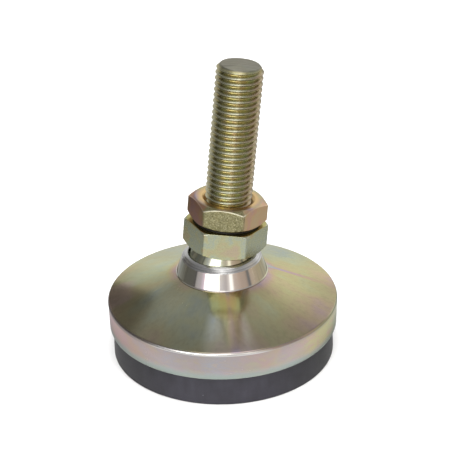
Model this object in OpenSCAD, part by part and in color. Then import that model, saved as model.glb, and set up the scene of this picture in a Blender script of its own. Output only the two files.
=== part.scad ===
// Swivel leveling foot: threaded stud with a hexagon and a ball, held in the
// socket of a conical steel dish on a rubber pad, with a jam nut on the thread.
// Millimetres, +Z up. The origin is the centre of the pad's underside, on the
// axis of the dish. The stud leans towards +X and +Y about the ball's centre.

/* [Foot] */
// Outside diameter of the dish's rim
base_d = 80; // [76:0.5:90]
// Height of the rubber pad below the rim
pad_h = 10.4; // [8:0.2:10.4]
// Depth of the vertical rim
rim_h = 9.9; // [9:0.1:10.4]
// Height of the top of the dish, where the socket comes out
dish_top_z = 30; // [29.8:0.1:30.4]
// Wall thickness of the pressed dish
shell_t = 2.8; // [2.2:0.1:3.2]
// Distance of the rubber's side inside the rim
pad_inset = 1.4; // [0.5:0.1:2.5]
// Depth of the anti-slip grooves in the pad's underside
groove_h = 1.5; // [0.5:0.1:2]

/* [Ball joint] */
// Height of the ball's centre
ball_z = 30; // [30:0.1:30.2]
// Radius of the ball
ball_r = 13.2; // [13.1:0.05:13.2]
// Lean of the stud from upright, towards +X, in degrees
lean_side = 5.8; // [0:0.1:7]
// Lean of the stud from upright, towards +Y, in degrees
lean_back = 2.4; // [0:0.1:4]
// Wall of the plastic seat between ball and socket
seat_t = 0.6; // [0.5:0.05:0.6]
// Running gap on each side of the plastic seat
seat_gap = 0.05; // [0.03:0.01:0.08]

/* [Stud] */
// Major diameter of the thread
thread_d = 16; // [12:0.5:16]
// Pitch of the thread
pitch = 2; // [1.5:0.25:2]
// Length of the stud above the ball's centre
stud_l = 74.9; // [70:0.1:120]
// Width of the stud's hexagon across its flats
hex_af = 25.2; // [24.6:0.1:26]
// Height of the hexagon's underside above the ball's centre
hex_bottom = 9.65; // [9.6:0.05:10.2]
// Height of the hexagon's top face above the ball's centre
hex_top = 18.85; // [18:0.05:20]
// Turn of the hexagon about the stud
hex_turn = -2.6; // [-30:0.1:30]

/* [Jam nut] */
// Width of the nut across its flats
nut_af = 24; // [22:0.5:27]
// Thickness of the nut
nut_h = 8; // [6:0.1:10]
// Turn of the nut about the stud
nut_turn = -8.5; // [-30:0.1:30]
// Thickness of the washer under the nut
washer_h = 0.7; // [0.6:0.05:1.2]
// Outside radius of the washer
washer_r = 11.5; // [10:0.1:11.8]

/* [Hidden] */
$fn = 96;

over = 1;         // overshoot of cutting and trimming shapes
part_gap = 0.02;  // gap between neighbouring parts
plate_gap = 0.01; // gap above and below the backing plate
trim_r = 20;      // radius of cylinders that trim spheres

// collar: radii, and heights above the ball's centre
collar_r = 15.73;
collar_top_r = 13.7;
collar_top_z = 5.85;
lip_r = 11.52;
lip_z = 7.5;
flange_r = 20;
flange_depth = 5;
flange_chamfer = 0.5;

// socket: radius, and heights above the ball's centre
seat_in = ball_r + seat_gap;
seat_out = seat_in + seat_t;
socket_r = seat_out + seat_gap;
socket_floor = -12.2;
socket_top = 5.3;
collar_bottom = socket_floor - 2;

// dish
base_r = base_d / 2;
rim_top = pad_h + rim_h;
rim_in = base_r - shell_t;
dish_slope = (dish_top_z - rim_top) / (base_r - collar_r);
dish_drop = shell_t * sqrt(1 + dish_slope * dish_slope); // wall measured vertically
shoulder_r = 1.2;
shoulder_lift = 0.35;

// backing plate
plate_t = 3;
plate_z = ball_z + collar_bottom - plate_t;
plate_r = rim_in - 0.15;
plate_hole_r = 4.2;

// rubber pad
pad_r = base_r - pad_inset;
spigot_r = rim_in - 0.05;
spigot_chamfer = 0.3;
groove_radii = [8:6:32];
groove_half_w = 1.2;

// stud, washer and nut, heights above the ball's centre
ball_flat_z = -10.5;
hex_corner_r = corner_radius(hex_af);
nut_corner_r = corner_radius(nut_af);
washer_z = hex_top + part_gap;
nut_z = washer_z + washer_h + part_gap;
major_r = thread_d / 2;
root_r = major_r - 0.6134 * pitch;
undercut_r = root_r - 0.15;
end_land = 1.2; // end of the stud above the last turn
end_chamfer = 1.4;
turns = floor((stud_l - hex_top - 4.2) / pitch);
thread_z = stud_l - end_land - turns * pitch;
// number of lower crests at the foot of the thread, and the step between them
runout = max(1, ceil((nut_z + nut_h + 0.1 - thread_z) / pitch + 0.15));
runout_step = 0.1;

brass_zinc = [0.66, 0.62, 0.36];
pink_zinc = [0.66, 0.52, 0.42];
bare_steel = [0.74, 0.73, 0.72];
dull_steel = [0.55, 0.56, 0.56];
black_rubber = [0.13, 0.13, 0.135];
pale_plastic = [0.88, 0.87, 0.82];
washer_black = [0.1, 0.1, 0.1];

// Radius to the corners of a hexagon, from its width across flats
function corner_radius(flats) = flats / cos(30) / 2;

// Height of the cone's outer face at a radius
function cone_z(r) = rim_top + (base_r - r) * dish_slope;

// The stud's own frame: origin at the ball's centre, +Z along the stud
module leaned() translate([0, 0, ball_z]) rotate([-lean_back, lean_side, 0]) children();

// Flat ring standing on z = 0
module ring(height, outer, inner) {
    difference() {
        cylinder(h = height, r = outer);
        translate([0, 0, -over]) cylinder(h = height + 2 * over, r = inner);
    }
}

// Conical pressed dish with a vertical rim and a centre hole
module base_shell() {
    hole_r = collar_r + part_gap;
    shoulder_in = base_r - shoulder_r;
    under_in = rim_in - 1.5;
    color(brass_zinc)
    rotate_extrude()
    polygon(concat(
        [[hole_r, dish_top_z - dish_drop], [hole_r, cone_z(hole_r)],
         [shoulder_in - 0.1, cone_z(shoulder_in - 0.1)]],
        // rounded shoulder between the cone and the rim
        [for (a = [75:-15:0])
            [shoulder_in + shoulder_r * cos(a),
             rim_top - shoulder_r + shoulder_lift + shoulder_r * sin(a)]],
        // bottom edge of the rim
        [[base_r - 0.1, pad_h + 0.5], [base_r - 0.45, pad_h],
         [rim_in + 0.2, pad_h], [rim_in, pad_h + 0.3]],
        // inside corner under the cone
        [[rim_in, cone_z(rim_in) - dish_drop - 0.4],
         [under_in, cone_z(under_in) - dish_drop]]));
}

// Steel disc inside the rim that carries the socket
module backing_plate() {
    color(dull_steel)
    translate([0, 0, plate_z]) ring(plate_t, plate_r, plate_hole_r);
}

// Rubber pad: plain side, a spigot inside the rim, ring grooves underneath
module rubber_pad() {
    side_top = pad_h - part_gap;
    spigot_top = plate_z - plate_gap;
    color(black_rubber)
    difference() {
        rotate_extrude()
        polygon([[0, 0], [pad_r + 0.1, 0], [pad_r + 0.25, 0.25],
                 [pad_r, side_top], [spigot_r, side_top],
                 [spigot_r, plate_z - spigot_chamfer], [spigot_r - spigot_chamfer, spigot_top],
                 [0, spigot_top]]);
        for (r = groove_radii)
            translate([0, 0, -over])
            ring(groove_h + over, r + groove_half_w, r - groove_half_w);
    }
}

// Turned ball socket with a flange under the dish and a lip rolled over the ball
module socket_collar() {
    bottom = collar_bottom + plate_gap;
    bottom_chamfer = 0.6;
    dish_under = dish_top_z - dish_drop - ball_z;
    flange_under = dish_under - flange_depth;
    flange_edge_z = cone_z(flange_r) - dish_drop - ball_z - part_gap;
    lip_chamfer_z = lip_z - 0.2;
    color(bare_steel)
    translate([0, 0, ball_z])
    difference() {
        rotate_extrude()
        polygon([[0, bottom], [collar_r - bottom_chamfer, bottom],
                 [collar_r, collar_bottom + bottom_chamfer],
                 // flange, its top following the cone
                 [collar_r, flange_under], [flange_r - flange_chamfer, flange_under],
                 [flange_r, flange_under + flange_chamfer],
                 [flange_r, flange_edge_z], [collar_r, dish_under - part_gap],
                 // tapered neck and lip
                 [collar_r, 0.25], [collar_top_r + 0.12, collar_top_z - 0.35],
                 [collar_top_r - 0.25, collar_top_z + 0.1],
                 [lip_r + 0.25, lip_z], [lip_r, lip_chamfer_z], [0, lip_chamfer_z]]);
        // socket for the plastic seat, up to the underside of the lip
        intersection() {
            sphere(r = socket_r);
            translate([0, 0, socket_floor])
            cylinder(h = socket_top - socket_floor, r = trim_r);
        }
        // clearance for the ball under the lip
        intersection() {
            sphere(r = ball_r + 0.28);
            cylinder(h = 20, r = trim_r);
        }
        // round opening in the lip
        translate([0, 0, 5]) cylinder(h = 10, r = lip_r);
    }
}

// Plastic seat: spherical shell round the ball between two angles of elevation
module seat_band(low, high) {
    reach = 40; // wedge length, well beyond the seat
    rotate_extrude()
    difference() {
        intersection() {
            circle(r = seat_out);
            polygon([[0, 0], reach * [cos(low), sin(low)],
                     [reach, (low + high) / 2], reach * [cos(high), sin(high)]]);
        }
        circle(r = seat_in);
    }
}

// Plastic cup below the ball's equator, open at the bottom
module ball_seat() {
    color(pale_plastic)
    leaned() seat_band(low = -52, high = -14);
}

// Plastic ring round the ball's equator
module seat_ring() {
    color(pale_plastic)
    leaned() seat_band(low = -4, high = 10);
}

// Radius of crest i, with lower crests on the run-out at the foot of the thread
function crest_r(i) = major_r - (i < runout ? runout_step * (runout - i + 1) : 0);

// Half profile of the thread as [radius, z]: flat crests, one ring groove a pitch
function thread_points() = [
    for (i = [0:turns - 1])
        // radius, height in pitches
        for (p = [[crest_r(i), 0], [crest_r(i), 0.15],
                  [root_r, 0.4375], [root_r, 0.5625],
                  [crest_r(i + 1), 0.85]])
            [p[0], thread_z + (i + p[1]) * pitch]
];

// Ball, flat underneath
module stud_ball() {
    intersection() {
        sphere(r = ball_r);
        translate([0, 0, ball_flat_z])
        cylinder(h = hex_bottom + 0.5 - ball_flat_z, r = trim_r);
    }
}

// Hexagon, chamfered lightly on top and fully below
module stud_hexagon() {
    top_r = hex_corner_r - 0.95;
    bottom_r = 0.494 * hex_af;
    outer = hex_corner_r + over;
    intersection() {
        rotate([0, 0, hex_turn])
        translate([0, 0, hex_bottom])
        cylinder(h = hex_top - hex_bottom, d = 2 * hex_corner_r, $fn = 6);
        rotate_extrude()
        polygon([[0, hex_bottom - over], [0, hex_top + over],
                 [top_r - over / tan(30), hex_top + over], [top_r, hex_top],
                 [outer, hex_top - (outer - top_r) * tan(30)],
                 [outer, hex_bottom + (outer - bottom_r) * tan(30)],
                 [bottom_r, hex_bottom], [bottom_r - over, hex_bottom - over]]);
    }
}

// Undercut, thread and end chamfer
module stud_shank() {
    rotate_extrude()
    polygon(concat(
        [[0, hex_top - 1], [undercut_r, hex_top - 1],
         [undercut_r, thread_z - 1], [crest_r(0), thread_z - 0.15]],
        thread_points(),
        [[major_r, stud_l - end_chamfer], [major_r - end_chamfer, stud_l], [0, stud_l]]));
}

// Stud in one piece: ball, hexagon and thread
module swivel_stud() {
    color(brass_zinc)
    leaned() {
        stud_ball();
        stud_hexagon();
        stud_shank();
    }
}

// Thin flat washer under the nut
module nut_washer() {
    color(washer_black)
    leaned() translate([0, 0, washer_z]) ring(washer_h, washer_r, major_r + 0.3);
}

// Thin jam nut: plain bore, both faces chamfered to a circle, countersunk bore
module jam_nut() {
    bore_r = major_r + 0.05;
    face_r = 0.475 * nut_af;
    outer = nut_corner_r + over;
    drop = (outer - face_r) * tan(30);
    color(pink_zinc)
    leaned() translate([0, 0, nut_z])
    difference() {
        intersection() {
            rotate([0, 0, nut_turn]) cylinder(h = nut_h, d = 2 * nut_corner_r, $fn = 6);
            rotate_extrude()
            polygon([[0, 0], [face_r, 0], [outer, drop],
                     [outer, nut_h - drop], [face_r, nut_h], [0, nut_h]]);
        }
        translate([0, 0, -over]) cylinder(h = nut_h + 2 * over, r = bore_r);
        // countersinks: height of the face, outward direction
        for (face = [[nut_h, 1], [0, -1]]) {
            inner_z = face[0] - 0.7 * face[1];
            outer_z = face[0] + 0.5 * face[1];
            rotate_extrude()
            polygon([[0, inner_z], [bore_r, inner_z], [bore_r + 1.2, outer_z], [0, outer_z]]);
        }
    }
}

base_shell();
backing_plate();
rubber_pad();
socket_collar();
ball_seat();
seat_ring();
swivel_stud();
nut_washer();
jam_nut();
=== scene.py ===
import math

import bpy
import numpy as np
from mathutils import Matrix, Vector


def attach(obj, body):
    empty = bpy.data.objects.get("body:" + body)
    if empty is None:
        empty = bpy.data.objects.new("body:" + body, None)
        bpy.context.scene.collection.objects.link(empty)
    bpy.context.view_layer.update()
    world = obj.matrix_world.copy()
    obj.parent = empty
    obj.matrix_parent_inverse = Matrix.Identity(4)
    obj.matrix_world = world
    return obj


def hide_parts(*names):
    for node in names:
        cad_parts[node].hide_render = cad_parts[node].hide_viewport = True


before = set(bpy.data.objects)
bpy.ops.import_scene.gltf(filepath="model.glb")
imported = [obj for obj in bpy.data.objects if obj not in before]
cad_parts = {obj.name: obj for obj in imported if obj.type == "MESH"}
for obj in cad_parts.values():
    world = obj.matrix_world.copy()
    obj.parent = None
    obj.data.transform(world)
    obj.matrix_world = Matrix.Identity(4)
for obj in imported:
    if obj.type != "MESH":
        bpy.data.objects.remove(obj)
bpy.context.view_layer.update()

MM = 0.001

# Pose of the stud
PIVOT = 30.0  # height of the ball's centre
LEAN_SIDE, LEAN_BACK = math.radians(5.8), math.radians(2.4)
COS_SIDE, SIN_SIDE = math.cos(LEAN_SIDE), math.sin(LEAN_SIDE)
COS_BACK, SIN_BACK = math.cos(LEAN_BACK), math.sin(LEAN_BACK)

# Stud; heights are along its own axis, from the ball's centre
BALL_R = 13.2
BALL_CUT = 10.5  # depth of the ball's flat end below its centre
NECK_FILLET = 0.35
HEX_AF, HEX_TURN = 25.2, -2.6  # across flats, and azimuth of a corner in degrees
HEX_BOTTOM, HEX_TOP = 9.65, 18.85
HEX_CONE_BOTTOM = 0.494 * HEX_AF  # radius at which each chamfer starts
HEX_CONE_TOP = HEX_AF / math.cos(math.pi / 6) / 2 - 0.95
STUD_END = 74.9
THREAD_R, PITCH, THREAD_DEPTH = 8.0, 2.0, 1.2
CREST_Z = 72.87  # height of a crest at azimuth 0
ROOT_R = THREAD_R - THREAD_DEPTH - 0.1
ROOT_FILLET = 0.3
CHAMFER_SLOPE = math.tan(math.radians(30))

# Washer and jam nut, stacked on the stud's hexagon
STACK_GAP = 0.02
WASHER_BOTTOM = HEX_TOP + STACK_GAP
WASHER_TOP = WASHER_BOTTOM + 0.7
WASHER_BORE_R, WASHER_R = 8.3, 11.5
NUT_AF, NUT_TURN, NUT_H = 24.0, -8.5, 8.0
NUT_BOTTOM = WASHER_TOP + STACK_GAP
NUT_TOP = NUT_BOTTOM + NUT_H
NUT_CONE = 0.475 * NUT_AF
NUT_SINK_R = 9.1  # countersink at either face
NUT_BORE_R = 7.05

# Base
BASE_R = 40.0
DISH_TOP, RIM_TOP, RIM_BOTTOM = 30.0, 20.3, 10.4
COLLAR_R = 15.73
DISH_HOLE_R = COLLAR_R + 0.02
DISH_SHEET = 2.8
DISH_SLOPE = (DISH_TOP - RIM_TOP) / (BASE_R - COLLAR_R)
SOCKET_R, LIP_R = 13.9, 13.48  # spheres inside the collar: the socket, and under its lip
SOCKET_FLOOR = 12.2  # depth of the socket's floor below the pivot
COLLAR_BOTTOM = 15.81
PAD_TOP, PAD_R = 12.79, 38.55

# ---------------------------------------------------------------- mesh tools


def soft_min(a, b, blend):
    part = np.clip(0.5 + 0.5 * (b - a) / blend, 0, 1)
    return b * (1 - part) + a * part - blend * part * (1 - part)


def soft_max(a, b, blend):
    return -soft_min(-a, -b, blend)


def smoothstep(x):
    x = np.clip(x, 0, 1)
    return x * x * (3 - 2 * x)


def lean(points):
    """Points in the stud's own frame, in mm, into the foot's frame."""
    x = points[..., 0]
    y = COS_BACK * points[..., 1] + SIN_BACK * points[..., 2]
    z = -SIN_BACK * points[..., 1] + COS_BACK * points[..., 2]
    leaning = [COS_SIDE * x + SIN_SIDE * z, y, -SIN_SIDE * x + COS_SIDE * z + PIVOT]
    return np.stack(leaning, -1)


def plain_object(name, points, faces):
    mesh = bpy.data.meshes.new(name)
    mesh.from_pydata(points, [], faces)
    obj = bpy.data.objects.new(name, mesh)
    bpy.context.scene.collection.objects.link(obj)
    return obj


def signed_volume(mesh):
    """Six times the volume inside a closed mesh: negative if its faces look inwards."""
    mesh.calc_loop_triangles()
    points = np.zeros(len(mesh.vertices) * 3, np.float32)
    mesh.vertices.foreach_get("co", points)
    points = points.reshape(-1, 3).astype(float)
    tris = np.zeros(len(mesh.loop_triangles) * 3, np.int32)
    mesh.loop_triangles.foreach_get("vertices", tris)
    a, b, c = points[tris.reshape(-1, 3).T]
    return np.einsum("ij,ij->i", a, np.cross(b, c)).sum()


def ring_object(name, radii, heights, angles, capped=False, on_stud=False):
    """A surface round Z. radii and heights hold one row per ring and one column per angle.
    The last ring joins the first, or with capped both end rings close on the axis.
    The "loc" attribute keeps each point's place in mm before any lean."""
    rows, cols = radii.shape
    points = np.stack([radii * np.cos(angles), radii * np.sin(angles), heights], -1)
    points = points.reshape(-1, 3)
    index = np.arange(rows * cols).reshape(rows, cols)
    lower = index[:-1] if capped else index
    upper = index[1:] if capped else np.roll(index, -1, 0)
    quads = np.stack([lower, np.roll(lower, -1, 1), np.roll(upper, -1, 1), upper], -1)
    faces = quads.reshape(-1, 4).tolist()
    if capped:
        first, last = index[0], index[-1]
        centre = np.full(cols, rows * cols)
        ends = [[0, 0, float(heights[0].mean())], [0, 0, float(heights[-1].mean())]]
        points = np.concatenate([points, np.array(ends)])
        faces += np.stack([first, centre, np.roll(first, -1)], 1).tolist()
        faces += np.stack([last, np.roll(last, -1), centre + 1], 1).tolist()
    placed = lean(points) if on_stud else points
    obj = plain_object(name, (placed * MM).tolist(), faces)
    mesh = obj.data
    mesh.validate()
    mesh.update()
    if signed_volume(mesh) < 0:
        mesh.flip_normals()
    loc = mesh.attributes.new("loc", "FLOAT_VECTOR", "POINT")
    loc.data.foreach_set("vector", points.astype(np.float32).ravel())
    mesh.shade_smooth()
    mesh.set_sharp_from_angle(angle=math.radians(50))
    return obj


class Rings:
    """Rings gathered one by one, each with its own radii at shared angles."""

    def __init__(self, angles):
        self.angles = angles
        self.radii = []
        self.heights = []

    def add(self, radius, z):
        ones = np.ones(len(self.angles))
        self.radii.append(radius * ones)
        self.heights.append(z * ones)

    def build(self, name, **options):
        radii, heights = np.array(self.radii), np.array(self.heights)
        return ring_object(name, radii, heights, self.angles, **options)


def corner_arc(before, corner, after, radius, arc_steps):
    """The points that round one corner: just the corner if it has no radius or no bend."""
    p = np.array(corner, float)
    a = np.array(before, float) - p
    b = np.array(after, float) - p
    len_a, len_b = np.linalg.norm(a), np.linalg.norm(b)
    a, b = a / len_a, b / len_b
    angle = math.acos(float(np.clip(a @ b, -1, 1)))
    if radius <= 0 or abs(math.pi - angle) < 1e-3:
        return [p]
    setback = min(radius / math.tan(angle / 2), 0.45 * len_a, 0.45 * len_b)
    fitted = setback * math.tan(angle / 2)
    bisector = (a + b) / np.linalg.norm(a + b)
    centre = p + bisector * (fitted / math.sin(angle / 2))
    start, end = p + a * setback - centre, p + b * setback - centre
    sweep = math.pi - angle
    steps = max(2, int(math.ceil(arc_steps * sweep / (math.pi / 2))))
    sign = 1 if start[0] * end[1] - start[1] * end[0] > 0 else -1
    arc = []
    for j in range(steps + 1):
        turn = sign * sweep * j / steps
        cos, sin = math.cos(turn), math.sin(turn)
        arc.append(centre + np.array([start[0] * cos - start[1] * sin,
                                      start[0] * sin + start[1] * cos]))
    return arc


def rounded_profile(corners, arc_steps, max_step, support):
    """A closed profile from (r, z, radius) corners. arc_steps is per quarter turn. Long sides
    are cut up at max_step, with a point at the support distance from each end."""
    count = len(corners)
    arcs = []
    for i, (x, y, radius) in enumerate(corners):
        before, after = corners[(i - 1) % count][:2], corners[(i + 1) % count][:2]
        arcs.append(corner_arc(before, (x, y), after, radius, arc_steps))
    points = []
    for i in range(count):
        points += list(arcs[i])
        start, end = arcs[i][-1], arcs[(i + 1) % count][0]
        length = float(np.linalg.norm(end - start))
        if length < 1e-6:
            continue
        pieces = max(1, int(math.ceil(length / max_step)))
        parts = [j / pieces for j in range(1, pieces)]
        if length > 4 * support:
            near = support * 1.5
            inner = [t for t in parts if near < t * length < length - near]
            parts = sorted(set([support / length] + inner + [1 - support / length]))
        points += [start + (end - start) * t for t in parts]
    kept = []
    for p in points:
        if not kept or np.linalg.norm(p - kept[-1]) > 1e-5:
            kept.append(p)
    if np.linalg.norm(kept[0] - kept[-1]) < 1e-5:
        kept.pop()
    return np.array(kept)


def lathe(name, profile, cols, **options):
    """A closed profile, none of it on the axis, turned round Z."""
    angles = np.linspace(0, 2 * np.pi, cols, endpoint=False)
    radii = np.repeat(profile[:, :1], cols, 1)
    heights = np.repeat(profile[:, 1:], cols, 1)
    return ring_object(name, radii, heights, angles, **options)


def hex_angles(turn, per_side):
    """Angles for a hexagon with a corner at turn degrees, closer together near the corners."""
    spread = 0.5 - 0.5 * np.cos(np.linspace(0, math.pi, per_side, endpoint=False))
    spread = 0.55 * spread + 0.45 * np.linspace(0, 1, per_side, endpoint=False)
    side = np.radians(turn) + spread * math.pi / 3
    return np.concatenate([side + k * math.pi / 3 for k in range(6)])


def hex_radius(angles, across_flats, turn, blend):
    apothem = across_flats / 2
    sides = []
    for k in range(6):
        cos = np.cos(angles - math.radians(turn + 30 + 60 * k))
        sides.append(np.where(cos > 0.2, apothem / np.maximum(cos, 0.2), apothem * 5))
    sides = np.sort(np.stack(sides), 0)
    return soft_min(sides[0], sides[1], blend)


def chamfered_side(radius, z, bottom, top, cones, blends, edge):
    """A hexagon's radius at height z, cut by the bottom and top chamfer cones and with both
    end edges rounded. cones and blends are (bottom, top)."""
    radius = soft_min(radius, cones[0] + (z - bottom) / CHAMFER_SLOPE, blends[0])
    radius = soft_min(radius, cones[1] + (top - z) / CHAMFER_SLOPE, blends[1])
    for gap in (z - bottom, top - z):
        if gap < edge:
            part = gap / edge
            radius = radius - edge * (1 - math.sqrt(max(0, 1 - (1 - part) ** 2)))
    return radius


def thread_radius(angles, z):
    """The stud's right-hand 60 degree thread, with rounded crests and roots."""
    turns = (z - CREST_Z) / PITCH - angles / (2 * math.pi)
    off_crest = np.abs(turns - np.round(turns)) * PITCH  # along the axis
    flank = THREAD_R - (off_crest - 0.17) / math.tan(math.radians(30))
    crest = THREAD_R - 0.9 * off_crest * off_crest
    radius = soft_min(flank, crest, 0.30)
    return soft_max(radius, THREAD_R - THREAD_DEPTH, 0.22)


def fit(obj, part, replaces):
    """Tell the frame which part the object moves with, which piece it replaces."""
    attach(obj, part)
    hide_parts(replaces)
    return obj


# ---------------------------------------------------------------- stud, nut and washer


def add_ball(rings):
    """The ball from its flat end to the hexagon's underside. Returns the neck's radius."""
    flat_r = math.sqrt(BALL_R**2 - BALL_CUT**2)
    for part in (0.25, 0.6, 0.9, 0.98):
        rings.add(flat_r * part, -BALL_CUT)
    start = math.asin(-BALL_CUT / BALL_R)
    end = math.asin((HEX_BOTTOM - NECK_FILLET) / BALL_R)
    steps = 53
    for i in range(steps + 1):
        angle = start + (end - start) * i / steps if i else start + 0.01
        rings.add(BALL_R * math.cos(angle), BALL_R * math.sin(angle))
    neck_r = BALL_R * math.cos(end)
    for degrees in (25, 50, 75):
        q = math.radians(degrees)
        rings.add(neck_r + NECK_FILLET * (1 - math.cos(q)),
                  HEX_BOTTOM - NECK_FILLET + NECK_FILLET * math.sin(q))
    return neck_r


def add_stud_hexagon(rings, neck_r):
    """Underside, side and top of the hexagon, and the fillet up to the shank."""
    inner = neck_r + NECK_FILLET
    for part in (0.2, 0.5, 0.8, 0.94):
        rings.add(inner + (HEX_CONE_BOTTOM - 0.12 - inner) * part, HEX_BOTTOM)
    flats = hex_radius(rings.angles, HEX_AF, HEX_TURN, blend=0.42)
    heights = np.concatenate([
        HEX_BOTTOM + 0.12 * (1 - np.cos(np.linspace(0.25, math.pi / 2, 5))),
        np.linspace(HEX_BOTTOM + 0.2, HEX_BOTTOM + 2.1, 26),
        np.linspace(HEX_BOTTOM + 2.3, HEX_TOP - 1.35, 12),
        np.linspace(HEX_TOP - 1.25, HEX_TOP - 0.16, 16),
        HEX_TOP - 0.12 * (1 - np.cos(np.linspace(math.pi / 2, 0.3, 5)))])
    for z in heights:
        rings.add(chamfered_side(flats, z, HEX_BOTTOM, HEX_TOP, edge=0.14, blends=(0.3, 0.22),
                                 cones=(HEX_CONE_BOTTOM, HEX_CONE_TOP)), z)
    edge_r = rings.radii[-1]
    inner = ROOT_R + ROOT_FILLET
    for part in (0.94, 0.75, 0.5, 0.25, 0.06):
        rings.add(inner + (edge_r - inner) * part, HEX_TOP)
    for degrees in (65, 40, 15):
        q = math.radians(degrees)
        rings.add(inner - ROOT_FILLET * math.cos(q),
                  HEX_TOP + ROOT_FILLET - ROOT_FILLET * math.sin(q))


def add_shank(rings):
    """The threaded shank, its chamfer and its flat end."""
    thread_start = HEX_TOP + 3.0
    run_out = 2.2  # length over which the thread grows to full height
    chamfer_r = 6.6  # of the chamfer at the very end
    heights = np.concatenate([
        np.linspace(HEX_TOP + 0.45, thread_start, 8, endpoint=False),
        np.arange(thread_start, STUD_END - 1.35, PITCH / 17.0),
        np.linspace(STUD_END - 1.3, STUD_END - 0.1, 18)])
    for z in heights:
        grown = smoothstep((z - thread_start) / run_out)
        radius = ROOT_R + (thread_radius(rings.angles, z) - ROOT_R) * grown
        rings.add(soft_min(radius, chamfer_r + (STUD_END - z), 0.12), z)
    rings.add(rings.radii[-1] - 0.05, STUD_END - 0.03)
    rings.add(rings.radii[-1] - 0.07, STUD_END)
    edge_r = rings.radii[-1]
    for part in (0.93, 0.7, 0.45, 0.2):
        rings.add(edge_r * part, STUD_END)


def build_stud():
    rings = Rings(hex_angles(HEX_TURN, per_side=26))
    neck_r = add_ball(rings)
    add_stud_hexagon(rings, neck_r)
    add_shank(rings)
    stud = rings.build("swivel_stud_body", capped=True, on_stud=True)
    return fit(stud, "stud", "swivel_stud")


def build_nut():
    rings = Rings(hex_angles(NUT_TURN, per_side=32))
    flats = hex_radius(rings.angles, NUT_AF, NUT_TURN, blend=0.5)
    # underside, outwards
    for part in (0.03, 0.3, 0.6, 0.9):
        rings.add(NUT_SINK_R + (NUT_CONE - 0.15 - NUT_SINK_R) * part, NUT_BOTTOM)
    side = np.concatenate([
        NUT_BOTTOM + 0.16 * (1 - np.cos(np.linspace(0.3, math.pi / 2, 4))),
        np.linspace(NUT_BOTTOM + 0.22, NUT_BOTTOM + 2.2, 28),
        np.linspace(NUT_BOTTOM + 2.4, NUT_TOP - 2.4, 8),
        np.linspace(NUT_TOP - 2.2, NUT_TOP - 0.22, 28),
        NUT_TOP - 0.16 * (1 - np.cos(np.linspace(math.pi / 2, 0.3, 4)))])
    for z in side:
        rings.add(chamfered_side(flats, z, NUT_BOTTOM, NUT_TOP, edge=0.18, blends=(0.3, 0.3),
                                 cones=(NUT_CONE, NUT_CONE)), z)
    # top, inwards
    edge_r = rings.radii[-1]
    for part in (0.97, 0.85, 0.6, 0.35, 0.12, 0.02):
        rings.add(NUT_SINK_R + (edge_r - NUT_SINK_R) * part, NUT_TOP)
    # countersinks and the internal thread, which follows the stud's with a clearance
    clearance, sink_slope = 0.16, 0.75
    for z in np.linspace(NUT_TOP - 0.02, NUT_BOTTOM + 0.02, int(NUT_H / (PITCH / 16.0))):
        radius = thread_radius(rings.angles, z) + clearance
        radius = soft_max(radius, NUT_BORE_R, 0.05)
        sink = max(NUT_SINK_R - (NUT_TOP - z) / sink_slope,
                   NUT_SINK_R - (z - NUT_BOTTOM) / sink_slope)
        rings.add(soft_max(radius, sink, 0.1), z)
    return fit(rings.build("jam_nut_body", on_stud=True), "nut", "jam_nut")


def build_washer():
    corners = [  # r, z, corner radius
        (WASHER_BORE_R, WASHER_BOTTOM, 0.08), (WASHER_R, WASHER_BOTTOM, 0.2),
        (WASHER_R, WASHER_TOP, 0.2), (WASHER_BORE_R, WASHER_TOP, 0.08)]
    profile = rounded_profile(corners, arc_steps=6, max_step=0.8, support=0.05)
    washer = lathe("nut_washer_ring", profile, 192, on_stud=True)
    return fit(washer, "washer", "nut_washer")


# ---------------------------------------------------------------- base


def build_dish():
    drop = DISH_SHEET * math.sqrt(1 + DISH_SLOPE**2)  # sheet thickness measured upright
    corners = [  # r, z, corner radius
        (DISH_HOLE_R, DISH_TOP - drop - 0.3, 0),
        (DISH_HOLE_R, DISH_TOP - 0.04, 0.05),
        (21.0, 27.72, 40),
        (BASE_R, RIM_TOP + 0.22, 1.15),
        (BASE_R - 0.3, RIM_BOTTOM, 0.5),
        (BASE_R - 2.7, RIM_BOTTOM, 0.3),
        (BASE_R - 2.8, RIM_TOP + 2.8 * DISH_SLOPE - drop, 1.5)]
    profile = rounded_profile(corners, arc_steps=9, max_step=1.5, support=0.15)
    return fit(lathe("base_shell_dish", profile, 320), "base", "base_shell")


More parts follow.
